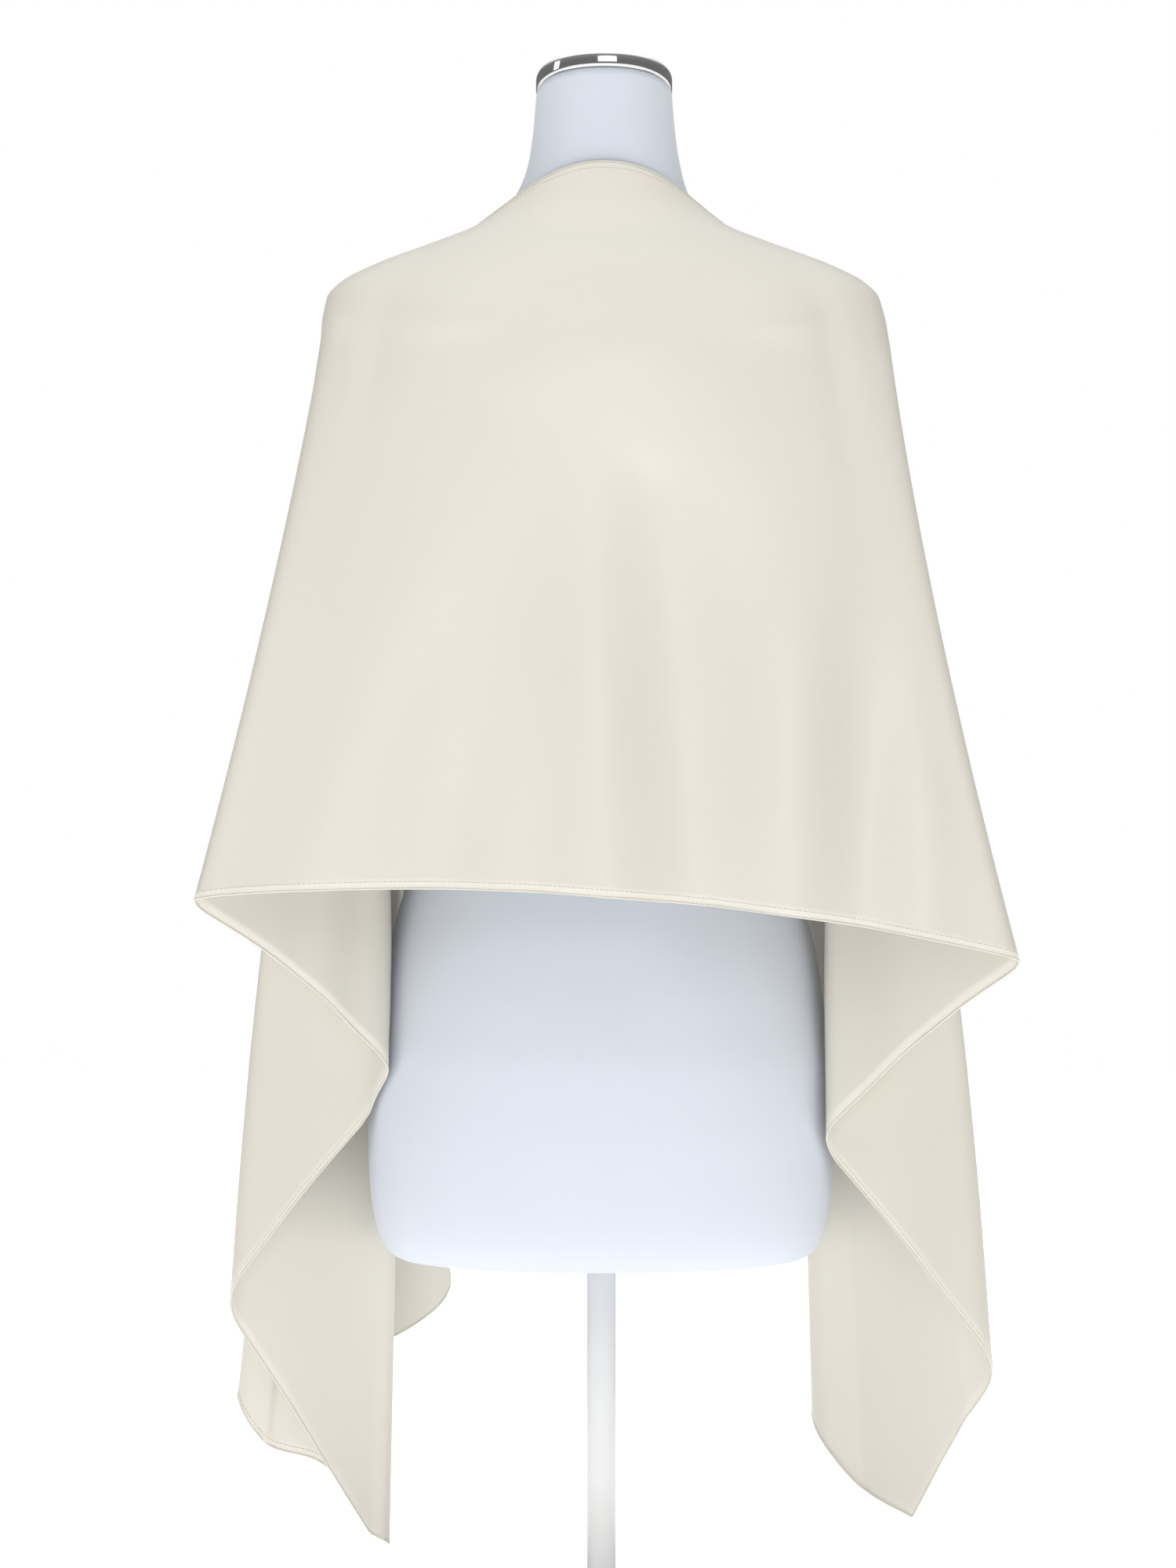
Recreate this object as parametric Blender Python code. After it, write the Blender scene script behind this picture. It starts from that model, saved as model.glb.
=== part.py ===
"""Evening stole worn on a limbless dress form, seen in use: round the shoulders, both ends falling at the sides.

Metres, +Z up. The form's back looks towards -Y and its front towards +Y, so +X is the wearer's right.
The origin is on the floor under the form's axis.

The stole is one rectangle of cloth. Each station line of it runs from the upper edge down the form to the
place where the cloth leaves the form, and from there straight to the lower edge. Across the lines the
cloth runs like a belt round the bends of the folds.
"""

import math

import bpy
import numpy as np

# Cloth
WALL = 0.0016
CLEARANCE = 0.0045
SOFTEN = 0.003
ROWS = 20
SHOULDER_CARE = 2.2
ARC_STEPS = 5
PANEL_STEPS = 4
SHORT_SPAN = 0.036
LEAST_RISE = 0.0015
RIDGE = 3.0
FRONT_FOLD = 6.02

# Dress form
SECTION_POWER = 2.2
FORM_SIDES = 44
BUST_Z = 0.790
BUST_X = 0.078
BUST_RISE = 0.020
BUST_SPREAD = 0.052
NECK_TILT = math.tan(math.radians(12.0))
NECK_TILT_FROM_Z = 1.030
NECK_TOP_Z = 1.0855
NECK_ASIDE = 0.0019

# Neck cap
CAP_HEIGHT = 0.0118
CAP_OVERHANG = 0.0003
CAP_BEVEL = 0.0030

# Stand
SEAM_GAP = 0.0003
BASE_RADIUS = 0.160
BASE_THICKNESS = 0.012
POLE_RADIUS = 0.010
ROUND_SIDES = 48

# Each row is one level of the dress form: half its width, and its depth behind and before the axis.
FORM_LEVELS = [
    # z, half_width, back, front
    (0.2768, 0.1280, 0.0880, 0.0720),
    (0.2790, 0.1400, 0.0990, 0.0820),
    (0.2870, 0.1500, 0.1080, 0.0900),
    (0.3050, 0.1570, 0.1150, 0.0950),
    (0.3340, 0.1610, 0.1190, 0.0980),
    (0.3700, 0.1620, 0.1210, 0.1000),
    (0.4100, 0.1600, 0.1200, 0.1010),
    (0.4500, 0.1550, 0.1140, 0.1000),
    (0.4900, 0.1485, 0.1060, 0.0970),
    (0.5350, 0.1360, 0.0960, 0.0930),
    (0.5800, 0.1180, 0.0860, 0.0890),
    (0.6300, 0.1090, 0.0810, 0.0870),
    (0.6800, 0.1170, 0.0850, 0.0910),
    (0.7400, 0.1360, 0.0970, 0.1000),
    (0.7900, 0.1500, 0.1060, 0.1060),
    (0.8400, 0.1610, 0.1120, 0.1000),
    (0.8800, 0.1690, 0.1130, 0.0870),
    (0.9100, 0.1740, 0.1090, 0.0760),
    (0.9300, 0.1795, 0.1020, 0.0670),
    (0.9430, 0.1805, 0.0950, 0.0610),
    (0.9530, 0.1740, 0.0890, 0.0560),
    (0.9660, 0.1510, 0.0820, 0.0530),
    (0.9800, 0.1140, 0.0750, 0.0510),
    (0.9930, 0.0820, 0.0680, 0.0490),
    (1.0080, 0.0645, 0.0620, 0.0480),
    (1.0300, 0.0545, 0.0570, 0.0470),
    (1.0550, 0.0498, 0.0540, 0.0465),
    (NECK_TOP_Z, 0.0470, 0.0520, 0.0460),
]

# Each row is one station of the cloth, from the centre back round to the front corner, x outwards.
# rest_x, rest_y, rest_z: where the cloth leaves the form, and rest_bend how round it bends there.
# x, y, foot: where the line meets the lower or the short edge, and bend how round the fold is there.
# A bend above zero turns at the outer side, one below zero at the inner side.  top: height of the upper edge.
# sway: how far the line bows outwards halfway down.
LEFT_STATIONS = [
    # name, rest_x, rest_y, rest_bend, rest_z, top, x, y, bend, foot, sway
    ("back_near", 0.060, -0.114, 0.000, 0.880, 1.0275, 0.0560, -0.140, 0.000, 0.5384, 0.000),
    ("back_side", 0.125, -0.098, 0.000, 0.890, 1.0125, 0.2050, -0.138, 0.000, 0.5386, 0.000),
    ("ridge", 0.1925, -0.030, 0.030, 0.905, 0.9985, 0.2715, -0.124, 0.012, 0.5300, -0.003),
    ("panel_b", 0.1915, -0.012, 0.000, 0.915, 0.9965, 0.2200, -0.101, 0.000, 0.4905, 0.000),
    ("fold_1", 0.1860, 0.004, 0.024, 0.925, 0.9930, 0.1432, -0.062, -0.018, 0.4065, -0.012),
    ("fold_2", 0.1740, 0.036, 0.022, 0.930, 0.9750, 0.2575, -0.004, 0.016, 0.2490, 0.012),
    ("hem_low", 0.1420, 0.070, 0.000, 0.903, 0.9100, 0.1640, 0.065, 0.000, 0.0750, 0.000),
    ("corner_fold", 0.1340, 0.080, -0.010, 0.890, 0.8920, 0.1510, 0.075, -0.008, 0.0655, 0.000),
    ("short_edge", 0.1600, 0.088, 0.000, 0.848, 0.8500, 0.2060, 0.096, 0.000, 0.1232, 0.000),
    ("short_dip", 0.1720, 0.091, 0.000, 0.820, 0.8220, 0.2350, 0.102, 0.000, 0.1300, 0.000),
    ("fold_4", 0.2000, 0.098, 0.012, 0.745, 0.7480, 0.2620, 0.118, 0.016, 0.1660, 0.000),
    ("lobe", 0.1440, 0.119, 0.000, 0.634, 0.6360, 0.1490, 0.1405, 0.000, 0.2060, 0.000),
    ("fold_5", 0.1200, 0.130, -0.009, 0.610, 0.6120, 0.1100, 0.160, -0.018, 0.2430, 0.000),
    ("corner", 0.1900, 0.162, 0.000, 0.415, 0.4160, 0.1840, 0.188, 0.000, 0.3900, 0.000),
]
RIGHT_STATIONS = [
    # name, rest_x, rest_y, rest_bend, rest_z, top, x, y, bend, foot, sway
    ("back_near", 0.060, -0.114, 0.000, 0.880, 1.0285, 0.0940, -0.140, 0.000, 0.5250, 0.000),
    ("back_side", 0.125, -0.098, 0.000, 0.890, 1.0165, 0.1900, -0.138, 0.000, 0.5110, 0.000),
    ("ridge", 0.1985, -0.030, 0.030, 0.900, 0.9985, 0.2780, -0.124, 0.012, 0.4890, -0.005),
    ("panel_b", 0.1965, -0.012, 0.000, 0.915, 0.9965, 0.2404, -0.108, 0.000, 0.4577, -0.007),
    ("fold_1", 0.1890, 0.004, 0.024, 0.925, 0.9930, 0.1525, -0.062, -0.014, 0.3640, -0.011),
    ("fold_2", 0.1750, 0.036, 0.022, 0.930, 0.9750, 0.2705, -0.012, 0.018, 0.2060, 0.015),
    ("edge_bend", 0.1550, 0.063, 0.000, 0.912, 0.9270, 0.2470, 0.022, 0.000, 0.1480, 0.000),
    ("long_corner", 0.1480, 0.068, 0.000, 0.900, 0.9080, 0.2203, 0.055, 0.000, 0.0882, 0.000),
    ("short_edge", 0.1420, 0.074, 0.000, 0.880, 0.8850, 0.1890, 0.080, 0.000, 0.1030, 0.000),
    ("fold_3", 0.1320, 0.087, -0.010, 0.845, 0.8470, 0.1520, 0.106, -0.018, 0.1570, 0.000),
    ("fold_4", 0.1900, 0.108, 0.012, 0.700, 0.7030, 0.2450, 0.140, 0.014, 0.2400, 0.000),
    ("fold_5", 0.1220, 0.136, -0.009, 0.570, 0.5720, 0.1120, 0.174, -0.012, 0.3250, 0.000),
    ("corner", 0.1800, 0.170, 0.000, 0.460, 0.4610, 0.1760, 0.198, 0.000, 0.4350, 0.000),
]
BACK_CENTRE = ("back_centre", 0.0, -0.116, 0.0, 0.880, 1.0345, 0.0, -0.1405, 0.0, 0.5320, 0.0)
# The lower edge runs in a smooth line past every station but these, where it turns more sharply.
SHARP_CORNERS = ("ridge", "hem_low", "corner_fold", "long_corner")

# The stretches of the stole that show, from its left corner round the back to its right corner.
STRETCHES = ("stole_left_front", "stole_left_fall", "stole_back", "stole_right_fall", "stole_right_front")

# Each row is one soft fold down the back: its place across, its half width, how far it stands out
# (below zero it lies in), and the heights where it starts and is full.
BACK_FOLDS = [
    # x, half_width, rise, starts, full
    (-0.175, 0.036, 0.0070, 0.84, 0.62),
    (-0.105, 0.026, -0.0070, 0.76, 0.59),
    (-0.010, 0.024, 0.0070, 0.84, 0.60),
    (0.050, 0.032, -0.0110, 0.86, 0.60),
    (0.120, 0.030, 0.0110, 0.86, 0.60),
    (0.173, 0.022, -0.0080, 0.76, 0.60),
]


def smooth_curve(xs, ys, x, start_slope=None):
    """A shape-keeping cubic through the points (xs, ys), read at x."""
    xs, ys, x = np.asarray(xs, float), np.asarray(ys, float), np.asarray(x, float)
    step = np.diff(xs)
    slope = np.diff(ys) / step
    tangent = np.zeros(len(xs))
    for i in range(1, len(xs) - 1):
        if slope[i - 1] * slope[i] > 0:
            w1 = 2 * step[i] + step[i - 1]
            w2 = step[i] + 2 * step[i - 1]
            tangent[i] = (w1 + w2) / (w1 / slope[i - 1] + w2 / slope[i])
    tangent[0] = slope[0] if start_slope is None else start_slope
    tangent[-1] = slope[-1]
    i = np.clip(np.searchsorted(xs, x) - 1, 0, len(xs) - 2)
    t = np.clip((x - xs[i]) / step[i], 0, 1)
    return (
        (2 * t**3 - 3 * t**2 + 1) * ys[i]
        + (t**3 - 2 * t**2 + t) * step[i] * tangent[i]
        + (3 * t**2 - 2 * t**3) * ys[i + 1]
        + (t**3 - t**2) * step[i] * tangent[i + 1]
    )


def form_radius(bearing, z):
    """The dress form's radius at a bearing, in radians from its back, and a height."""
    levels = np.array(FORM_LEVELS)
    half, back, front = (smooth_curve(levels[:, 0], levels[:, i], z) for i in (1, 2, 3))
    side, depth = np.abs(np.sin(bearing)), np.cos(bearing)
    reach = np.where(depth > 0, back, front)
    oval = (side / half) ** SECTION_POWER + (np.abs(depth) / reach) ** SECTION_POWER
    radius = oval ** (-1 / SECTION_POWER)
    aside = (radius * side - BUST_X) / BUST_SPREAD
    bust = np.exp(-(aside**2) - ((z - BUST_Z) / BUST_SPREAD) ** 2)
    return radius + np.where(depth < 0, BUST_RISE * bust * np.abs(depth), 0.0)


def ramp(low, high, value):
    """0 below low, 1 above high, with a smooth rise between."""
    t = np.clip((value - low) / (high - low), 0, 1)
    return t * t * (3 - 2 * t)


def belt(points, bends, arc_steps, panel_steps):
    """A belt's plan line round the bends, as rows of (x, y, place), place counting stations."""
    bends = np.asarray(bends, float)
    centres = np.asarray(points, float) - np.stack([bends, np.zeros(len(bends))], axis=1)
    spans = np.diff(centres, axis=0)
    reach = np.hypot(spans[:, 0], spans[:, 1])
    heading = np.arctan2(spans[:, 1], spans[:, 0]) - np.arcsin(np.clip(np.diff(bends) / reach, -1, 1))
    normal = np.stack([-np.sin(heading), np.cos(heading)], axis=1)
    rows = []
    for i in range(len(centres)):
        if i and i < len(centres) - 1 and arc_steps[i]:
            turn = (heading[i] - heading[i - 1] + math.pi) % (2 * math.pi) - math.pi
            if turn * bends[i] < 0 and abs(turn) > math.pi / 2:
                turn += math.copysign(2 * math.pi, bends[i])
            for k in range(arc_steps[i] + 1):
                angle = heading[i - 1] + turn * k / arc_steps[i]
                place = i + 0.16 * (k / arc_steps[i] - 0.5)
                rows.append((*(centres[i] - bends[i] * np.array([-math.sin(angle), math.cos(angle)])), place))
        else:
            rows.append((*centres[i], float(i)))
        if i < len(centres) - 1:
            start = centres[i] - bends[i] * normal[i]
            finish = centres[i + 1] - bends[i + 1] * normal[i]
            here = rows[-1][2]
            there = i + 1 - (0.08 if arc_steps[i + 1] else 0.0)
            for k in range(1, panel_steps[i]):
                share = k / panel_steps[i]
                rows.append((*(start + (finish - start) * share), here + (there - here) * share))
    return np.array(rows)


def belt_length(line):
    """The length along a belt's plan line at each of its points."""
    return np.concatenate([[0], np.cumsum(np.hypot(*np.diff(line[:, :2], axis=0).T))])


def even_read(line, station, values):
    """Values given at the stations, read evenly by length along a belt's line between them."""
    length = belt_length(line)
    return np.interp(length, np.interp(station, line[:, 2], length), values)


def curve_read(line, station, values, sharp=(), start_slope=None):
    """Values given at the stations, read along a belt's line as a smooth curve that breaks at the sharp ones."""
    length = belt_length(line)
    at = np.interp(station, line[:, 2], length)
    stops = [0, *sharp, len(values) - 1]
    result = np.empty(len(length))
    for first, last in zip(stops, stops[1:]):
        inside = (length >= at[first] - 1e-9) & (length <= at[last] + 1e-9)
        slope = start_slope if first == 0 else None
        result[inside] = smooth_curve(at[first : last + 1], values[first : last + 1], length[inside], slope)
    return result


def back_folds(x, z):
    """How far the back panel stands out at a place, from its soft folds."""
    total = np.zeros(np.shape(x))
    for place, half_width, rise, starts, full in BACK_FOLDS:
        total = total + rise * np.exp(-(((x - place) / half_width) ** 2)) * ramp(-starts, -full, -z)
    return total


def cloth_lines(stations, mirror, rows, arc_steps, panel_steps):
    """The middle surface of half the stole, as an array of station lines, each with rows of points."""
    table = [BACK_CENTRE] + stations
    value = {name: np.array([row[i + 1] for row in table]) for i, name in enumerate(
        ("rest_x", "rest_y", "rest_bend", "rest_z", "top", "x", "y", "bend", "foot", "sway"))}
    arcs = [arc_steps if row[8] else 0 for row in table]
    spans = np.hypot(np.diff(value["x"]), np.diff(value["y"]))
    panels = [panel_steps if span > SHORT_SPAN else panel_steps // 2 for span in spans]
    rest = belt(np.stack([value["rest_x"], value["rest_y"]], axis=1), value["rest_bend"], arcs, panels)
    hung = belt(np.stack([value["x"], value["y"]], axis=1), value["bend"], arcs, panels)
    station = np.arange(len(table))
    place = hung[:, 2]
    sharp = [i for i, row in enumerate(table) if row[0] in SHARP_CORNERS]
    rest_z = curve_read(rest, station, value["rest_z"])
    top = np.maximum(curve_read(rest, station, value["top"], start_slope=0.0), rest_z + LEAST_RISE)
    foot = curve_read(hung, station, value["foot"], sharp)
    sway = even_read(hung, station, value["sway"])
    bearing = np.arctan2(rest[:, 0], -rest[:, 1])
    spare = np.maximum(np.hypot(rest[:, 0], rest[:, 1]) - form_radius(bearing, rest_z) - CLEARANCE, 0)
    lines = []
    for j in range(len(place)):
        upper, lower = np.linspace(top[j], rest_z[j], 40), np.linspace(rest_z[j], foot[j], 60)
        z = np.concatenate([upper, lower[1:]])
        share = np.clip((rest_z[j] - z) / (rest_z[j] - foot[j]), 0, 1)
        x = rest[j, 0] + (hung[j, 0] - rest[j, 0]) * share + 4 * sway[j] * share * (1 - share)
        y = rest[j, 1] + (hung[j, 1] - rest[j, 1]) * share
        angle, radius = np.arctan2(x, -y), np.hypot(x, y)
        need = (form_radius(angle, z) + CLEARANCE) * ramp(0.225, 0.265, z)
        above = z > rest_z[j]
        climb = np.clip((z - rest_z[j]) / max(top[j] - rest_z[j], 0.001), 0, 1)
        hug = ramp(0.004, 0.050, top[j] - rest_z[j])
        radius = np.where(above, need + spare[j] * (1 - hug * climb) ** 2, radius)
        radius = 0.5 * (radius + need + np.sqrt((radius - need) ** 2 + SOFTEN**2))
        path = np.stack([radius * np.sin(angle), -radius * np.cos(angle), z], axis=1)
        path[:, 1] -= back_folds(path[:, 0] * mirror, z) * ramp(RIDGE, RIDGE - 0.5, place[j])
        care = 1 + SHOULDER_CARE * ramp(0.87, 0.93, z[1:])
        step = np.linalg.norm(np.diff(path, axis=0), axis=1) * care
        length = np.concatenate([[0], np.cumsum(step)])
        mark = length[-1] * np.linspace(0, 1, rows + 1)
        lines.append(np.stack([np.interp(mark, length, path[:, i]) for i in range(3)], axis=1))
    return np.array(lines), place


def unit(vectors):
    """Vectors brought to length one along their last axis."""
    return vectors / np.linalg.norm(vectors, axis=-1, keepdims=True)


def wall_mesh(name, grid, normal):
    """A closed wall of cloth on a grid of middle points and the directions its face looks."""
    outer, inner = grid + normal * WALL / 2, grid - normal * WALL / 2
    n, m = grid.shape[:2]
    vertices = np.concatenate([outer.reshape(-1, 3), inner.reshape(-1, 3)])
    faces = []
    for i in range(n - 1):
        for k in range(m - 1):
            a, b, c, d = i * m + k, i * m + k + 1, (i + 1) * m + k + 1, (i + 1) * m + k
            faces.append((a, b, c, d))
            faces.append((a + n * m, d + n * m, c + n * m, b + n * m))
    edge = [(i, 0) for i in range(n)] + [(n - 1, k) for k in range(1, m)]
    edge += [(i, m - 1) for i in range(n - 2, -1, -1)] + [(0, k) for k in range(m - 2, 0, -1)]
    for (i, k), (p, q) in zip(edge, edge[1:] + edge[:1]):
        a, b = i * m + k, p * m + q
        faces.append((a, b, b + n * m, a + n * m))
    mesh = bpy.data.meshes.new(name)
    mesh.from_pydata([tuple(v) for v in vertices], [], faces)
    return mesh


def loft_mesh(name, rings):
    """A closed solid through rings of equal count, the lowest first, capped flat at both ends."""
    count = len(rings[0])
    vertices = [tuple(point) for ring in rings for point in ring]
    faces = [tuple(range(count - 1, -1, -1))]
    for i in range(len(rings) - 1):
        for k in range(count):
            a, b = i * count + k, i * count + (k + 1) % count
            faces.append((a, b, b + count, a + count))
    last = (len(rings) - 1) * count
    faces.append(tuple(range(last, last + count)))
    mesh = bpy.data.meshes.new(name)
    mesh.from_pydata(vertices, [], faces)
    return mesh


def add_piece(name, mesh, colour, roughness, metallic=0.0, smooth=True):
    """Put a mesh in the scene under its own name and material."""
    material = bpy.data.materials.new(name)
    material.use_nodes = True
    shader = material.node_tree.nodes["Principled BSDF"]
    shader.inputs["Base Color"].default_value = (*colour, 1.0)
    shader.inputs["Roughness"].default_value = roughness
    shader.inputs["Metallic"].default_value = metallic
    mesh.materials.append(material)
    mesh.update()
    for face in mesh.polygons:
        face.use_smooth = smooth
    piece = bpy.data.objects.new(name, mesh)
    bpy.context.scene.collection.objects.link(piece)
    return piece


def tilt_neck(ring):
    """Lean the neck's levels so that its top falls towards the front, and set it a little aside."""
    points = np.array(ring, float)
    points[:, 0] += NECK_ASIDE * ramp(1.000, 1.040, points[:, 2])
    points[:, 2] -= points[:, 1] * NECK_TILT * ramp(NECK_TILT_FROM_Z, NECK_TOP_Z, points[:, 2])
    return points


def form_rings():
    """The dress form's levels as rings of points."""
    turn = np.linspace(0, 2 * math.pi, FORM_SIDES, endpoint=False)
    heights = sorted({row[0] for row in FORM_LEVELS} | {0.765, 0.815, 0.860, 1.045, 1.070})
    rings = []
    for z in heights:
        radius = form_radius(turn, np.full(FORM_SIDES, z))
        ring = np.stack([radius * np.sin(turn), -radius * np.cos(turn), np.full(FORM_SIDES, z)], axis=1)
        rings.append(tilt_neck(ring))
    return rings


def cap_rings():
    """The neck cap's levels: an oval plate with rounded edges, lying on the neck's sloping top."""
    turn = np.linspace(0, 2 * math.pi, ROUND_SIDES, endpoint=False)
    radius = form_radius(turn, np.full(ROUND_SIDES, NECK_TOP_Z)) + CAP_OVERHANG
    levels = [(0.0, CAP_BEVEL), (0.3 * CAP_BEVEL, 0.3 * CAP_BEVEL), (CAP_BEVEL, 0.0)]
    levels += [(CAP_HEIGHT - low, inset) for low, inset in reversed(levels)]
    rings = []
    for lift, inset in levels:
        reach = radius - inset
        ring = np.stack([reach * np.sin(turn), -reach * np.cos(turn), np.zeros(ROUND_SIDES)], axis=1)
        ring[:, 2] = NECK_TOP_Z + SEAM_GAP + lift - ring[:, 1] * NECK_TILT
        ring[:, 0] += NECK_ASIDE
        rings.append(ring)
    return rings


def round_rings(profile):
    """Rings of a turned solid from (radius, z) rows, the lowest first."""
    turn = np.linspace(0, 2 * math.pi, ROUND_SIDES, endpoint=False)
    across, along = np.cos(turn), np.sin(turn)
    return [np.stack([r * across, r * along, np.full(ROUND_SIDES, z)], axis=1) for r, z in profile]


def stole_stretches():
    """The stole's middle surface from corner to corner, cut at both ridges and at both front folds."""
    left, left_place = cloth_lines(LEFT_STATIONS, -1.0, ROWS, ARC_STEPS, PANEL_STEPS)
    right, right_place = cloth_lines(RIGHT_STATIONS, 1.0, ROWS, ARC_STEPS, PANEL_STEPS)
    left = (left * np.array([-1.0, 1.0, 1.0]))[::-1]
    whole = np.concatenate([left[:-1], right])
    place = np.concatenate([-left_place[::-1][:-1], right_place])
    down = np.gradient(whole, axis=1)
    normal = unit(np.cross(down, np.gradient(whole, axis=0)))
    along = unit(np.cross(normal, down))
    cuts = [int(np.argmin(np.abs(place - spot))) for spot in (-FRONT_FOLD, -RIDGE, RIDGE, FRONT_FOLD)]
    ends = [0, *cuts, len(whole) - 1]
    stretches = {}
    for name, first, last in zip(STRETCHES, ends, ends[1:]):
        grid = whole[first : last + 1].copy()
        if first:
            grid[0] += along[first] * SEAM_GAP / 2
        if last < len(whole) - 1:
            grid[-1] -= along[last] * SEAM_GAP / 2
        stretches[name] = (grid, normal[first : last + 1])
    return stretches


for old in list(bpy.data.objects):
    bpy.data.objects.remove(old, do_unlink=True)

for stretch, (middle, outward) in stole_stretches().items():
    add_piece(stretch, wall_mesh(stretch, middle, outward), (0.76, 0.71, 0.60), 0.38)

add_piece("dress_form", loft_mesh("dress_form", form_rings()), (0.78, 0.82, 0.88), 0.75)
add_piece("neck_cap", loft_mesh("neck_cap", cap_rings()), (0.60, 0.61, 0.63), 0.12, metallic=1.0)

pole_profile = [(POLE_RADIUS, BASE_THICKNESS + SEAM_GAP), (POLE_RADIUS, FORM_LEVELS[0][0] - SEAM_GAP)]
add_piece("stand_pole", loft_mesh("stand_pole", round_rings(pole_profile)), (0.80, 0.80, 0.80), 0.4)
base_profile = [(BASE_RADIUS, 0.0), (BASE_RADIUS, BASE_THICKNESS - 0.003), (BASE_RADIUS - 0.003, BASE_THICKNESS)]
add_piece("stand_base", loft_mesh("stand_base", round_rings(base_profile)), (0.80, 0.80, 0.80), 0.4)
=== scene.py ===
"""The look of an evening stole on a limbless dress form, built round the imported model.

Metres, +Z up. The form's back looks towards -Y and +X is the wearer's right. The camera looks along +Y.
The cloth follows the same stations as its solids, with a finer mesh, fuller folds on the back, soft creases,
a rolled hem and stitches.
"""

import math

import bpy
import numpy as np
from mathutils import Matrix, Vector


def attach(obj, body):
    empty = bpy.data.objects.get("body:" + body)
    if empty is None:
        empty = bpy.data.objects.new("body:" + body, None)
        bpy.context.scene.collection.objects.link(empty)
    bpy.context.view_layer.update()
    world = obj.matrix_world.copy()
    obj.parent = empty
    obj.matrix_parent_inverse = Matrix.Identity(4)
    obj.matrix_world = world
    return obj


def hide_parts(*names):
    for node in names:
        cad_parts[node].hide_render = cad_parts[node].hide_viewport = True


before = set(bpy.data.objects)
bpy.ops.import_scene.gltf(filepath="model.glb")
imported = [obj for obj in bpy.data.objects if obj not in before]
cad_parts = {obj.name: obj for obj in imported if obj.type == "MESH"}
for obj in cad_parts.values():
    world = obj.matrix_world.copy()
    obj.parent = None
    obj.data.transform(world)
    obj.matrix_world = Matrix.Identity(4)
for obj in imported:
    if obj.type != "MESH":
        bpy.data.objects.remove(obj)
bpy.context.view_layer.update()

# Cloth
CLEARANCE = 0.0045
SOFTEN = 0.003
BACK_SOFTEN = 0.4 * SOFTEN
FORM_FOOT_Z = (0.225, 0.265)
SHEET_WALL = 0.0008
ROWS = 92
UPPER_STEPS = 60
LOWER_STEPS = 160
EASE_STEPS = 120
EASE_RATE = 0.25
EASE_ENDS = (0.12, 0.45)
BACK_HEM_Z = 0.55
SHOULDER_CARE = 1.2
SHOULDER_Z = (0.87, 0.93)
HUG_REACH = (0.004, 0.050)
CREASE_FADE = 0.22
ARC_SPAN = 0.16
ARC_STEPS = 14
PANEL_STEPS = 11
SHORT_SPAN = 0.036
LEAST_RISE = 0.0015
RIDGE = 3.0
HEM_RADIUS = 0.0007
HEM_SIDES = 8
HEM_STEP = 0.0035
HEM_UNEVEN = 0.10
STITCH_INSET = 0.0045
STITCH_PITCH = 0.0034
STITCH_LENGTH = 0.0022
STITCH_RADIUS = 0.00022
STITCH_SIDES = 5
SATIN_GLOSS = 0.75
HEM_GLOSS = 0.25
# The hem's satin colour is darkened by this factor: painted shade along the rolled edge.
HEM_PAINTED_SHADE = 0.93

# Dress form
SECTION_POWER = 2.2
FORM_SIDES = 176
FORM_ROWS = 170
BUST_Z = 0.790
BUST_X = 0.078
BUST_RISE = 0.020
BUST_SPREAD = 0.052
NECK_TILT = math.tan(math.radians(12.0))
NECK_TILT_FROM_Z = 1.030
NECK_TOP_Z = 1.0855
NECK_ASIDE = 0.0019
NECK_ASIDE_Z = (1.000, 1.040)
FORM_EDGE = 0.014

# Neck cap
CAP_HEIGHT = 0.0118
CAP_OVERHANG = 0.0003
CAP_BEVEL = 0.0030

# Stand
SEAM_GAP = 0.0003
BASE_RADIUS = 0.160
BASE_THICKNESS = 0.012
BASE_BEVEL = 0.003
POLE_RADIUS = 0.010
ROUND_SIDES = 96

# Light: the surround's strength for cloth, and for gloss from its sides up to its ceiling. CEILING_FROM is the
# upward share of a ray's direction where the ceiling starts and where it is full.
WORLD_LIGHT = 0.28
WORLD_COLOUR = (1.0, 0.955, 0.86, 1.0)
GLOSS_LIGHT = (0.20, 2.00)
CEILING_FROM = (0.15, 0.95)
KEY_COLOUR = (0.94, 0.975, 1.0)
FRONT_POWER = 25.0
LEFT_POWER = 11.5
RIGHT_POWER = 9.0
TOP_POWER = 22.0
FAR_POWER = 14.0
GLINT_POWER = 4.5
SIDE_GLINT_POWER = 2.2
FLOOR_GLOW = 0.90
FLOOR_DROP = 0.0005

# Camera: the picture is 1500 by 2000, and one of its pixels is PIXEL metres wide on the plane y = 0.
PIXEL = 0.000545
CAMERA_DISTANCE = 3.0
CAMERA_X = -0.0093
CAMERA_Z = 0.607
IMAGE_HEIGHT = 2000

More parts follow.
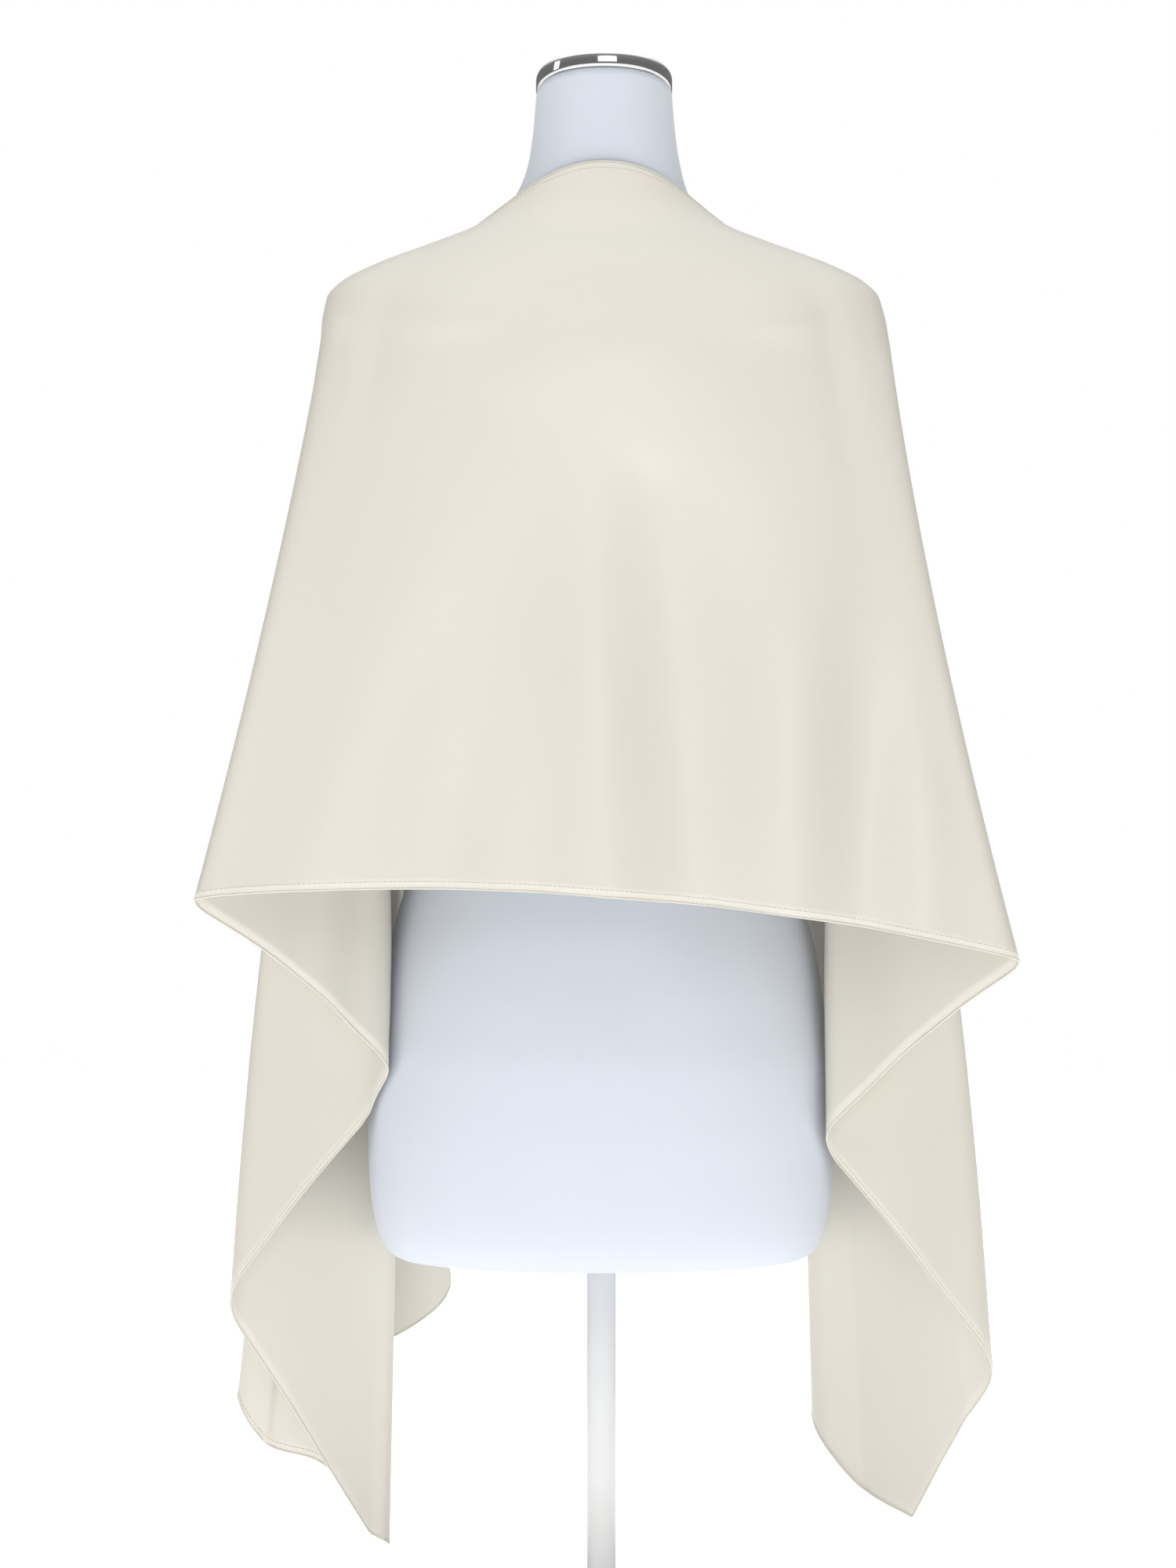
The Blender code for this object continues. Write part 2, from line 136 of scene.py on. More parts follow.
# Each row is one level of the dress form: half its width, and its depth behind and before the axis.
FORM_LEVELS = [
    # z, half_width, back, front
    (0.2768, 0.1280, 0.0880, 0.0720),
    (0.2790, 0.1400, 0.0990, 0.0820),
    (0.2870, 0.1500, 0.1080, 0.0900),
    (0.3050, 0.1570, 0.1150, 0.0950),
    (0.3340, 0.1610, 0.1190, 0.0980),
    (0.3700, 0.1620, 0.1210, 0.1000),
    (0.4100, 0.1600, 0.1200, 0.1010),
    (0.4500, 0.1550, 0.1140, 0.1000),
    (0.4900, 0.1485, 0.1060, 0.0970),
    (0.5350, 0.1360, 0.0960, 0.0930),
    (0.5800, 0.1180, 0.0860, 0.0890),
    (0.6300, 0.1090, 0.0810, 0.0870),
    (0.6800, 0.1170, 0.0850, 0.0910),
    (0.7400, 0.1360, 0.0970, 0.1000),
    (0.7900, 0.1500, 0.1060, 0.1060),
    (0.8400, 0.1610, 0.1120, 0.1000),
    (0.8800, 0.1690, 0.1130, 0.0870),
    (0.9100, 0.1740, 0.1090, 0.0760),
    (0.9300, 0.1795, 0.1020, 0.0670),
    (0.9430, 0.1805, 0.0950, 0.0610),
    (0.9530, 0.1740, 0.0890, 0.0560),
    (0.9660, 0.1510, 0.0820, 0.0530),
    (0.9800, 0.1140, 0.0750, 0.0510),
    (0.9930, 0.0820, 0.0680, 0.0490),
    (1.0080, 0.0645, 0.0620, 0.0480),
    (1.0300, 0.0545, 0.0570, 0.0470),
    (1.0550, 0.0498, 0.0540, 0.0465),
    (NECK_TOP_Z, 0.0470, 0.0520, 0.0460),
]

# Each row is one station of the cloth, from the centre back round to the front corner, x outwards.
# rest_x, rest_y, rest_z: where the cloth leaves the form, and rest_bend how round it bends there.
# x, y, foot: where the line meets the lower or the short edge, and bend how round the fold is there.
# A bend above zero turns at the outer side, one below zero at the inner side.  top: height of the upper edge.
# sway: how far the line bows outwards halfway down.
LEFT_STATIONS = [
    # name, rest_x, rest_y, rest_bend, rest_z, top, x, y, bend, foot, sway
    ("back_near", 0.060, -0.114, 0.000, 0.880, 1.0275, 0.0560, -0.140, 0.000, 0.5384, 0.000),
    ("back_side", 0.125, -0.098, 0.000, 0.890, 1.0125, 0.2050, -0.138, 0.000, 0.5386, 0.000),
    ("ridge", 0.1925, -0.030, 0.030, 0.905, 0.9985, 0.2715, -0.124, 0.012, 0.5300, -0.003),
    ("panel_b", 0.1915, -0.012, 0.000, 0.915, 0.9965, 0.2200, -0.101, 0.000, 0.4905, 0.000),
    ("fold_1", 0.1860, 0.004, 0.024, 0.925, 0.9930, 0.1432, -0.062, -0.018, 0.4065, -0.012),
    ("fold_2", 0.1740, 0.036, 0.022, 0.930, 0.9750, 0.2575, -0.004, 0.016, 0.2490, 0.012),
    ("hem_low", 0.1420, 0.070, 0.000, 0.903, 0.9100, 0.1640, 0.065, 0.000, 0.0750, 0.000),
    ("corner_fold", 0.1340, 0.080, -0.010, 0.890, 0.8920, 0.1510, 0.075, -0.008, 0.0655, 0.000),
    ("short_edge", 0.1600, 0.088, 0.000, 0.848, 0.8500, 0.2060, 0.096, 0.000, 0.1232, 0.000),
    ("short_dip", 0.1720, 0.091, 0.000, 0.820, 0.8220, 0.2350, 0.102, 0.000, 0.1300, 0.000),
    ("fold_4", 0.2000, 0.098, 0.012, 0.745, 0.7480, 0.2620, 0.118, 0.016, 0.1660, 0.000),
    ("lobe", 0.1440, 0.119, 0.000, 0.634, 0.6360, 0.1490, 0.1405, 0.000, 0.2060, 0.000),
    ("fold_5", 0.1200, 0.130, -0.009, 0.610, 0.6120, 0.1100, 0.160, -0.018, 0.2430, 0.000),
    ("corner", 0.1900, 0.162, 0.000, 0.415, 0.4160, 0.1840, 0.188, 0.000, 0.3900, 0.000),
]
RIGHT_STATIONS = [
    # name, rest_x, rest_y, rest_bend, rest_z, top, x, y, bend, foot, sway
    ("back_near", 0.060, -0.114, 0.000, 0.880, 1.0285, 0.0940, -0.140, 0.000, 0.5250, 0.000),
    ("back_side", 0.125, -0.098, 0.000, 0.890, 1.0165, 0.1900, -0.138, 0.000, 0.5110, 0.000),
    ("ridge", 0.1985, -0.030, 0.030, 0.900, 0.9985, 0.2780, -0.124, 0.012, 0.4890, -0.005),
    ("panel_b", 0.1965, -0.012, 0.000, 0.915, 0.9965, 0.2404, -0.108, 0.000, 0.4577, -0.007),
    ("fold_1", 0.1890, 0.004, 0.024, 0.925, 0.9930, 0.1525, -0.062, -0.014, 0.3640, -0.011),
    ("fold_2", 0.1750, 0.036, 0.022, 0.930, 0.9750, 0.2705, -0.012, 0.018, 0.2060, 0.015),
    ("edge_bend", 0.1550, 0.063, 0.000, 0.912, 0.9270, 0.2470, 0.022, 0.000, 0.1480, 0.000),
    ("long_corner", 0.1480, 0.068, 0.000, 0.900, 0.9080, 0.2203, 0.055, 0.000, 0.0882, 0.000),
    ("short_edge", 0.1420, 0.074, 0.000, 0.880, 0.8850, 0.1890, 0.080, 0.000, 0.1030, 0.000),
    ("fold_3", 0.1320, 0.087, -0.010, 0.845, 0.8470, 0.1520, 0.106, -0.018, 0.1570, 0.000),
    ("fold_4", 0.1900, 0.108, 0.012, 0.700, 0.7030, 0.2450, 0.140, 0.014, 0.2400, 0.000),
    ("fold_5", 0.1220, 0.136, -0.009, 0.570, 0.5720, 0.1120, 0.174, -0.012, 0.3250, 0.000),
    ("corner", 0.1800, 0.170, 0.000, 0.460, 0.4610, 0.1760, 0.198, 0.000, 0.4350, 0.000),
]
BACK_CENTRE = ("back_centre", 0.0, -0.116, 0.0, 0.880, 1.0345, 0.0, -0.1405, 0.0, 0.5320, 0.0)
# The lower edge runs in a smooth line past every station but these, where it turns more sharply.
SHARP_CORNERS = ("ridge", "hem_low", "corner_fold", "long_corner")

STRETCHES = ("stole_left_front", "stole_left_fall", "stole_back", "stole_right_fall", "stole_right_front")

# Each row is one soft fold down the back: its place across at the lower edge, how far it leans aside for each
# metre up, its half width, how far it stands out (below zero it lies in), and the heights where it starts and
# is full.
BACK_FOLDS = [
    # x, lean, half_width, rise, starts, full
    (-0.190, 0.26, 0.040, 0.0120, 0.86, 0.58),
    (-0.106, 0.16, 0.030, -0.0110, 0.80, 0.55),
    (-0.040, -0.10, 0.026, -0.0060, 0.74, 0.55),
    (0.000, 0.00, 0.032, 0.0130, 0.92, 0.56),
    (0.062, -0.10, 0.036, -0.0170, 0.94, 0.58),
    (0.122, 0.05, 0.032, 0.0150, 0.88, 0.57),
    (0.172, 0.02, 0.024, -0.0120, 0.80, 0.57),
    (0.215, 0.10, 0.022, 0.0050, 0.82, 0.60),
]

# Each row is one broad soft place on the back where the cloth stands out or lies in, fading all round it.
BACK_SWELLS = [
    # x, z, half_width, half_height, rise
    (0.010, 0.960, 0.080, 0.020, 0.0085),
    (-0.100, 0.926, 0.045, 0.020, 0.0070),
    (0.118, 0.923, 0.045, 0.020, 0.0070),
    (0.010, 0.780, 0.130, 0.080, -0.0040),
]


def smooth_curve(xs, ys, x, start_slope=None):
    """A shape-keeping cubic through the points (xs, ys), read at x."""
    xs, ys, x = np.asarray(xs, float), np.asarray(ys, float), np.asarray(x, float)
    step = np.diff(xs)
    slope = np.diff(ys) / step
    tangent = np.zeros(len(xs))
    for i in range(1, len(xs) - 1):
        if slope[i - 1] * slope[i] > 0:
            w1 = 2 * step[i] + step[i - 1]
            w2 = step[i] + 2 * step[i - 1]
            tangent[i] = (w1 + w2) / (w1 / slope[i - 1] + w2 / slope[i])
    tangent[0] = slope[0] if start_slope is None else start_slope
    tangent[-1] = slope[-1]
    i = np.clip(np.searchsorted(xs, x) - 1, 0, len(xs) - 2)
    t = np.clip((x - xs[i]) / step[i], 0, 1)
    return (
        (2 * t**3 - 3 * t**2 + 1) * ys[i]
        + (t**3 - 2 * t**2 + t) * step[i] * tangent[i]
        + (3 * t**2 - 2 * t**3) * ys[i + 1]
        + (t**3 - t**2) * step[i] * tangent[i + 1]
    )


def form_radius(bearing, z):
    """The dress form's radius at a bearing, in radians from its back, and a height."""
    levels = np.array(FORM_LEVELS)
    half, back, front = (smooth_curve(levels[:, 0], levels[:, i], z) for i in (1, 2, 3))
    side, depth = np.abs(np.sin(bearing)), np.cos(bearing)
    reach = np.where(depth > 0, back, front)
    oval = (side / half) ** SECTION_POWER + (np.abs(depth) / reach) ** SECTION_POWER
    radius = oval ** (-1 / SECTION_POWER)
    aside = (radius * side - BUST_X) / BUST_SPREAD
    bust = np.exp(-(aside**2) - ((z - BUST_Z) / BUST_SPREAD) ** 2)
    return radius + np.where(depth < 0, BUST_RISE * bust * np.abs(depth), 0.0)


def ramp(low, high, value):
    """0 below low, 1 above high, with a smooth rise between."""
    t = np.clip((value - low) / (high - low), 0, 1)
    return t * t * (3 - 2 * t)


def belt(points, bends, arc_steps, panel_steps):
    """A belt's plan line round the bends, as rows of (x, y, place), place counting stations."""
    bends = np.asarray(bends, float)
    centres = np.asarray(points, float) - np.stack([bends, np.zeros(len(bends))], axis=1)
    spans = np.diff(centres, axis=0)
    reach = np.hypot(spans[:, 0], spans[:, 1])
    heading = np.arctan2(spans[:, 1], spans[:, 0]) - np.arcsin(np.clip(np.diff(bends) / reach, -1, 1))
    normal = np.stack([-np.sin(heading), np.cos(heading)], axis=1)
    rows = []
    for i in range(len(centres)):
        if i and i < len(centres) - 1 and arc_steps[i]:
            turn = (heading[i] - heading[i - 1] + math.pi) % (2 * math.pi) - math.pi
            if turn * bends[i] < 0 and abs(turn) > math.pi / 2:
                turn += math.copysign(2 * math.pi, bends[i])
            for k in range(arc_steps[i] + 1):
                angle = heading[i - 1] + turn * k / arc_steps[i]
                place = i + ARC_SPAN * (k / arc_steps[i] - 0.5)
                rows.append((*(centres[i] - bends[i] * np.array([-math.sin(angle), math.cos(angle)])), place))
        else:
            rows.append((*centres[i], float(i)))
        if i < len(centres) - 1:
            start = centres[i] - bends[i] * normal[i]
            finish = centres[i + 1] - bends[i + 1] * normal[i]
            here = rows[-1][2]
            there = i + 1 - (ARC_SPAN / 2 if arc_steps[i + 1] else 0.0)
            for k in range(1, panel_steps[i]):
                share = k / panel_steps[i]
                rows.append((*(start + (finish - start) * share), here + (there - here) * share))
    return np.array(rows)


def belt_length(line):
    """The length along a belt's plan line at each of its points."""
    return np.concatenate([[0], np.cumsum(np.hypot(*np.diff(line[:, :2], axis=0).T))])


def even_read(line, station, values):
    """Values given at the stations, read evenly by length along a belt's line between them."""
    length = belt_length(line)
    return np.interp(length, np.interp(station, line[:, 2], length), values)


def curve_read(line, station, values, sharp=(), start_slope=None):
    """Values given at the stations, read along a belt's line as a curve that breaks at the sharp ones."""
    length = belt_length(line)
    at = np.interp(station, line[:, 2], length)
    stops = [0, *sharp, len(values) - 1]
    result = np.empty(len(length))
    for first, last in zip(stops, stops[1:]):
        inside = (length >= at[first] - 1e-9) & (length <= at[last] + 1e-9)
        slope = start_slope if first == 0 else None
        result[inside] = smooth_curve(at[first : last + 1], values[first : last + 1], length[inside], slope)
    return result


def back_folds(x, z):
    """How far the back panel stands out at a place, from its soft folds."""
    total = np.zeros(np.shape(x))
    for place, lean, half_width, rise, starts, full in BACK_FOLDS:
        aside = (x - place - lean * (z - BACK_HEM_Z)) / half_width
        total = total + rise * np.exp(-(aside**2)) * ramp(-starts, -full, -z)
    for place, height, half_width, half_height, rise in BACK_SWELLS:
        total = total + rise * np.exp(-(((x - place) / half_width) ** 2) - ((z - height) / half_height) ** 2)
    return total


# Each row is one soft crease that runs down with the cloth: the side, its place between the stations, its
# half width there, how far it stands out (below zero it lies in), and where down the line it starts and ends.
CREASES = [
    # side, place, half_width, rise, starts, ends
    (-1, 2.72, 0.10, 0.0016, 0.20, 0.62),
    (-1, 2.45, 0.12, -0.0014, 0.24, 0.70),
    (-1, 3.45, 0.20, 0.0020, 0.30, 0.95),
    (-1, 4.45, 0.16, -0.0022, 0.25, 1.00),
    (-1, 4.75, 0.12, 0.0016, 0.40, 1.00),
    (-1, 5.50, 0.20, 0.0022, 0.30, 1.00),
    (-1, 6.40, 0.22, -0.0020, 0.20, 1.00),
    (-1, 10.50, 0.20, 0.0018, 0.00, 1.00),
    (-1, 11.50, 0.24, -0.0022, 0.00, 1.00),
    (1, 2.76, 0.10, 0.0018, 0.18, 0.58),
    (1, 2.48, 0.14, -0.0016, 0.22, 0.72),
    (1, 3.50, 0.20, 0.0020, 0.30, 0.95),
    (1, 4.40, 0.16, -0.0022, 0.25, 1.00),
    (1, 4.72, 0.12, 0.0018, 0.40, 1.00),
    (1, 5.50, 0.18, 0.0024, 0.30, 1.00),
    (1, 6.60, 0.20, -0.0018, 0.20, 1.00),
    (1, 10.50, 0.22, 0.0020, 0.00, 1.00),
    (1, 11.50, 0.24, -0.0020, 0.00, 1.00),
]


def crease_rise(mirror, place, down):
    """How far the cloth stands out at a place and a share of the way down its line, from its soft creases."""
    total = np.zeros(np.shape(down))
    for side, centre, half_width, rise, starts, ends in CREASES:
        if side != mirror:
            continue
        across = math.exp(-(((place - centre) / half_width) ** 2))
        fade = ramp(starts, starts + CREASE_FADE, down)
        if ends < 1.0:
            fade = fade * ramp(-ends, -ends + CREASE_FADE, -down)
        total = total + rise * across * fade
    return total


def cloth_lines(stations):
    """The middle surface of half the stole, as an array of station lines, each with rows of points."""
    table = [BACK_CENTRE] + stations
    columns = ("rest_x", "rest_y", "rest_bend", "rest_z", "top", "x", "y", "bend", "foot", "sway")
    value = {name: np.array([row[i + 1] for row in table]) for i, name in enumerate(columns)}
    arcs = [ARC_STEPS if row[8] else 0 for row in table]
    spans = np.hypot(np.diff(value["x"]), np.diff(value["y"]))
    panels = [PANEL_STEPS if span > SHORT_SPAN else PANEL_STEPS // 2 for span in spans]
    rest = belt(np.stack([value["rest_x"], value["rest_y"]], axis=1), value["rest_bend"], arcs, panels)
    hung = belt(np.stack([value["x"], value["y"]], axis=1), value["bend"], arcs, panels)
    station = np.arange(len(table))
    place = hung[:, 2]
    sharp = [i for i, row in enumerate(table) if row[0] in SHARP_CORNERS]
    rest_z = curve_read(rest, station, value["rest_z"])
    top = np.maximum(curve_read(rest, station, value["top"], start_slope=0.0), rest_z + LEAST_RISE)
    foot = curve_read(hung, station, value["foot"], sharp)
    sway = even_read(hung, station, value["sway"])
    bearing = np.arctan2(rest[:, 0], -rest[:, 1])
    spare = np.maximum(np.hypot(rest[:, 0], rest[:, 1]) - form_radius(bearing, rest_z) - CLEARANCE, 0)
    lines = []
    for j in range(len(place)):
        upper = np.linspace(top[j], rest_z[j], UPPER_STEPS)
        lower = np.linspace(rest_z[j], foot[j], LOWER_STEPS)
        z = np.concatenate([upper, lower[1:]])
        share = np.clip((rest_z[j] - z) / (rest_z[j] - foot[j]), 0, 1)
        x = rest[j, 0] + (hung[j, 0] - rest[j, 0]) * share + 4 * sway[j] * share * (1 - share)
        y = rest[j, 1] + (hung[j, 1] - rest[j, 1]) * share
        angle, radius = np.arctan2(x, -y), np.hypot(x, y)
        need = (form_radius(angle, z) + CLEARANCE) * ramp(*FORM_FOOT_Z, z)
        above = z > rest_z[j]
        climb = np.clip((z - rest_z[j]) / max(top[j] - rest_z[j], 0.001), 0, 1)
        hug = ramp(*HUG_REACH, top[j] - rest_z[j])
        radius = np.where(above, need + spare[j] * (1 - hug * climb) ** 2, radius)
        radius = 0.5 * (radius + need + np.sqrt((radius - need) ** 2 + SOFTEN**2))
        path = np.stack([radius * np.sin(angle), -radius * np.cos(angle), z], axis=1)
        care = 1 + SHOULDER_CARE * ramp(*SHOULDER_Z, z[1:])
        step = np.linalg.norm(np.diff(path, axis=0), axis=1) * care
        length = np.concatenate([[0], np.cumsum(step)])
        mark = length[-1] * np.linspace(0, 1, ROWS + 1)
        lines.append(np.stack([np.interp(mark, length, path[:, i]) for i in range(3)], axis=1))
    return np.array(lines), place


def unit(vectors):
    """Vectors brought to length one along their last axis."""
    return vectors / np.maximum(np.linalg.norm(vectors, axis=-1, keepdims=True), 1e-9)


def facing(grid):
    """The way a grid of cloth points faces, at each point."""
    return unit(np.cross(np.gradient(grid, axis=1), np.gradient(grid, axis=0)))


def clear_of_form(grid):
    """The cloth's points, moved out where they come too near the dress form."""
    x, y, z = grid[..., 0], grid[..., 1], grid[..., 2]
    bearing, radius = np.arctan2(x, -y), np.hypot(x, y)
    need = (form_radius(bearing, z) + CLEARANCE) * ramp(*FORM_FOOT_Z, z)
    radius = 0.5 * (radius + need + np.sqrt((radius - need) ** 2 + BACK_SOFTEN**2))
    return np.stack([radius * np.sin(bearing), -radius * np.cos(bearing), z], axis=-1)


def ease_back(grid, share):
    """The cloth's lines, evened out across the back where share is 1, then given the back's soft folds."""
    for _ in range(EASE_STEPS):
        grid[1:-1] += EASE_RATE * share[1:-1] * (grid[:-2] + grid[2:] - 2 * grid[1:-1])
    grid[..., 1] -= back_folds(grid[..., 0], grid[..., 2]) * share[..., 0]
    return np.where(share > 0, clear_of_form(grid), grid)


def stole_grid():
    """The whole stole's middle surface, from the left corner round the back to the right corner."""
    left, left_place = cloth_lines(LEFT_STATIONS)
    right, right_place = cloth_lines(RIGHT_STATIONS)
    down = np.linspace(0, 1, ROWS + 1)
    left = (left * np.array([-1.0, 1.0, 1.0]))[::-1]
    grid = np.concatenate([left[:-1], right])
    places = np.concatenate([left_place[::-1][:-1], right_place])
    in_back = ramp(RIDGE - EASE_ENDS[0], RIDGE - EASE_ENDS[1], places)
    grid = ease_back(grid, in_back[:, None, None])
    rises = [crease_rise(-1, p, down) for p in left_place[::-1][:-1]]
    rises += [crease_rise(1, p, down) for p in right_place]
    return grid + facing(grid) * np.array(rises)[:, :, None]


def mesh_piece(name, vertices, faces, material, uv=None):
    """A new object from points and faces, shaded smooth, with its material and perhaps its weave's places."""
    mesh = bpy.data.meshes.new(name)
    mesh.from_pydata([tuple(v) for v in vertices], [], faces)
    if uv is not None:
        layer = mesh.uv_layers.new(name="cloth")
        index = np.empty(len(mesh.loops), dtype=np.int32)
        mesh.loops.foreach_get("vertex_index", index)
        layer.data.foreach_set("uv", np.asarray(uv, dtype=np.float32)[index].ravel())
    mesh.polygons.foreach_set("use_smooth", [True] * len(mesh.polygons))
    mesh.update()
    mesh.materials.append(material)
    piece = bpy.data.objects.new(name, mesh)
    bpy.context.scene.collection.objects.link(piece)
    return piece


def grid_faces(n, m):
    """Quads over a grid of n lines with m points each."""
    corners = [i * m + k for i in range(n - 1) for k in range(m - 1)]
    return [(a, a + 1, a + m + 1, a + m) for a in corners]


def loft(rings):
    """Vertices and faces of a closed solid through rings of equal count, the lowest first."""
    count = len(rings[0])
    vertices = [tuple(point) for ring in rings for point in ring]
    faces = [tuple(range(count - 1, -1, -1))]
    for i in range(len(rings) - 1):
        for k in range(count):
            a, b = i * count + k, i * count + (k + 1) % count
            faces.append((a, b, b + count, a + count))
    last = (len(rings) - 1) * count
    faces.append(tuple(range(last, last + count)))
    return vertices, faces


def tube(path, radius, sides, closed=False):
    """Vertices and faces of a round tube along a path of points."""
    path = np.asarray(path, float)
    if closed:
        along = unit(np.roll(path, -1, axis=0) - np.roll(path, 1, axis=0))
    else:
        along = unit(np.gradient(path, axis=0))
    side = np.zeros_like(path)
    previous = np.array([0.31, 0.17, 0.93])
    for i, direction in enumerate(along):
        previous = previous - direction * previous.dot(direction)
        previous = previous / np.linalg.norm(previous)
        side[i] = previous
    other = np.cross(along, side)
    turn = np.linspace(0, 2 * math.pi, sides, endpoint=False)
    radius = np.broadcast_to(radius, (len(path),))
    rings = path[:, None] + radius[:, None, None] * (
        side[:, None] * np.cos(turn)[None, :, None] + other[:, None] * np.sin(turn)[None, :, None]
    )
    vertices = rings.reshape(-1, 3)
    faces = []
    count = len(path)
    for i in range(count if closed else count - 1):
        j = (i + 1) % count
        for k in range(sides):
            q = (k + 1) % sides
            faces.append((i * sides + k, i * sides + q, j * sides + q, j * sides + k))
    if not closed:
        faces.append(tuple(range(sides - 1, -1, -1)))
        faces.append(tuple((count - 1) * sides + k for k in range(sides)))
    return vertices, faces


def node(tree, kind, place=(0, 0), **values):
    """A shader node with its settings and inputs filled in."""
    made = tree.nodes.new(kind)
    made.location = place
    for key, value in values.items():
        if key in made.inputs:
            made.inputs[key].default_value = value
        else:
            setattr(made, key, value)
    return made


def new_material(name, colour, roughness):
    """A material, its node tree and its shader, ready for more nodes."""
    material = bpy.data.materials.new(name)
    material.use_nodes = True
    shader = material.node_tree.nodes["Principled BSDF"]
    shader.inputs["Base Color"].default_value = (*colour, 1.0)
    shader.inputs["Roughness"].default_value = roughness
    return material, material.node_tree, shader


def satin_material(name, gloss, painted_shade):
    """Plain satin: fine long floats across the cloth, a soft sheen and faint unevenness in the yarn, its
    colour darkened by the last argument as painted shade.
    """
    material, tree, shader = new_material(name, (0.765, 0.725, 0.640), 0.34)
    shader.inputs["Specular IOR Level"].default_value = gloss
    shader.inputs["Sheen Weight"].default_value = 0.12
    shader.inputs["Sheen Roughness"].default_value = 0.35
    shader.inputs["Sheen Tint"].default_value = (1.0, 0.97, 0.90, 1.0)
    shader.inputs["Anisotropic"].default_value = 0.35
    uv = node(tree, "ShaderNodeUVMap", (-1400, 0), uv_map="cloth")
    stretch = node(tree, "ShaderNodeMapping", (-1200, 0))
    stretch.inputs["Scale"].default_value = (240.0, 1500.0, 1.0)
    tree.links.new(uv.outputs["UV"], stretch.inputs["Vector"])
    floats = node(tree, "ShaderNodeTexNoise", (-1000, 0), Scale=1.0, Detail=2.0, Roughness=0.5)
    tree.links.new(stretch.outputs["Vector"], floats.inputs["Vector"])
    where = node(tree, "ShaderNodeTexCoord", (-1400, -400))
    cloudy = node(tree, "ShaderNodeTexNoise", (-1000, -400), Scale=6.0, Detail=2.0, Roughness=0.5)
    tree.links.new(where.outputs["Object"], cloudy.inputs["Vector"])
    tint = node(tree, "ShaderNodeMix", (-600, 200), data_type="RGBA")
    # Both tints are scaled down by the last argument: painted shade, used for the rolled hem.
    tint.inputs[6].default_value = (0.748 * painted_shade, 0.710 * painted_shade, 0.632 * painted_shade, 1.0)
    tint.inputs[7].default_value = (0.772 * painted_shade, 0.738 * painted_shade, 0.664 * painted_shade, 1.0)
    tree.links.new(cloudy.outputs["Fac"], tint.inputs[0])
    tree.links.new(tint.outputs[2], shader.inputs["Base Color"])
    rough = node(tree, "ShaderNodeMapRange", (-600, -200))
    rough.inputs["To Min"].default_value = 0.31
    rough.inputs["To Max"].default_value = 0.41
    tree.links.new(floats.outputs["Fac"], rough.inputs["Value"])
    tree.links.new(rough.outputs["Result"], shader.inputs["Roughness"])
    bump = node(tree, "ShaderNodeBump", (-400, -500), Strength=0.06, Distance=0.0004)
    tree.links.new(floats.outputs["Fac"], bump.inputs["Height"])
    tree.links.new(bump.outputs["Normal"], shader.inputs["Normal"])
    return material


def jersey_material():
    """Fine white jersey drawn smooth over the form, with its small columns of stitches."""
    material, tree, shader = new_material("jersey", (0.80, 0.84, 0.90), 0.78)
    shader.inputs["Specular IOR Level"].default_value = 0.25
    shader.inputs["Sheen Weight"].default_value = 0.18
    shader.inputs["Sheen Roughness"].default_value = 0.45
    where = node(tree, "ShaderNodeTexCoord", (-1400, 0))
    stretch = node(tree, "ShaderNodeMapping", (-1200, 0))
    stretch.inputs["Scale"].default_value = (1200.0, 1200.0, 700.0)
    tree.links.new(where.outputs["Object"], stretch.inputs["Vector"])
    knit = node(tree, "ShaderNodeTexNoise", (-1000, 0), Scale=1.0, Detail=1.0, Roughness=0.5)
    tree.links.new(stretch.outputs["Vector"], knit.inputs["Vector"])
    cloudy = node(tree, "ShaderNodeTexNoise", (-1000, -400), Scale=9.0, Detail=3.0, Roughness=0.55)
    tree.links.new(where.outputs["Object"], cloudy.inputs["Vector"])
    tint = node(tree, "ShaderNodeMix", (-600, 200), data_type="RGBA")
    tint.inputs[6].default_value = (0.665, 0.705, 0.785, 1.0)
    tint.inputs[7].default_value = (0.700, 0.740, 0.815, 1.0)
    tree.links.new(cloudy.outputs["Fac"], tint.inputs[0])
    tree.links.new(tint.outputs[2], shader.inputs["Base Color"])
    bump = node(tree, "ShaderNodeBump", (-400, -500), Strength=0.10, Distance=0.0003)
    tree.links.new(knit.outputs["Fac"], bump.inputs["Height"])
    tree.links.new(bump.outputs["Normal"], shader.inputs["Normal"])
    return material


def worn_metal(name, colour, roughness_low, roughness_high, metallic, scale):
    """Polished or painted metal whose gloss varies a little, as handling leaves it."""
    material, tree, shader = new_material(name, colour, roughness_low)
    shader.inputs["Metallic"].default_value = metallic
    where = node(tree, "ShaderNodeTexCoord", (-1000, 0))
    cloudy = node(tree, "ShaderNodeTexNoise", (-800, 0), Scale=scale, Detail=4.0, Roughness=0.6)
    tree.links.new(where.outputs["Object"], cloudy.inputs["Vector"])
    rough = node(tree, "ShaderNodeMapRange", (-500, 0))
    rough.inputs["To Min"].default_value = roughness_low
    rough.inputs["To Max"].default_value = roughness_high
    tree.links.new(cloudy.outputs["Fac"], rough.inputs["Value"])
    tree.links.new(rough.outputs["Result"], shader.inputs["Roughness"])
    return material


def tilt_neck(ring):
    """Lean the neck's levels so that its top falls towards the front, and set it a little aside."""
    points = np.array(ring, float)
    points[:, 0] += NECK_ASIDE * ramp(*NECK_ASIDE_Z, points[:, 2])
    points[:, 2] -= points[:, 1] * NECK_TILT * ramp(NECK_TILT_FROM_Z, NECK_TOP_Z, points[:, 2])
    return points


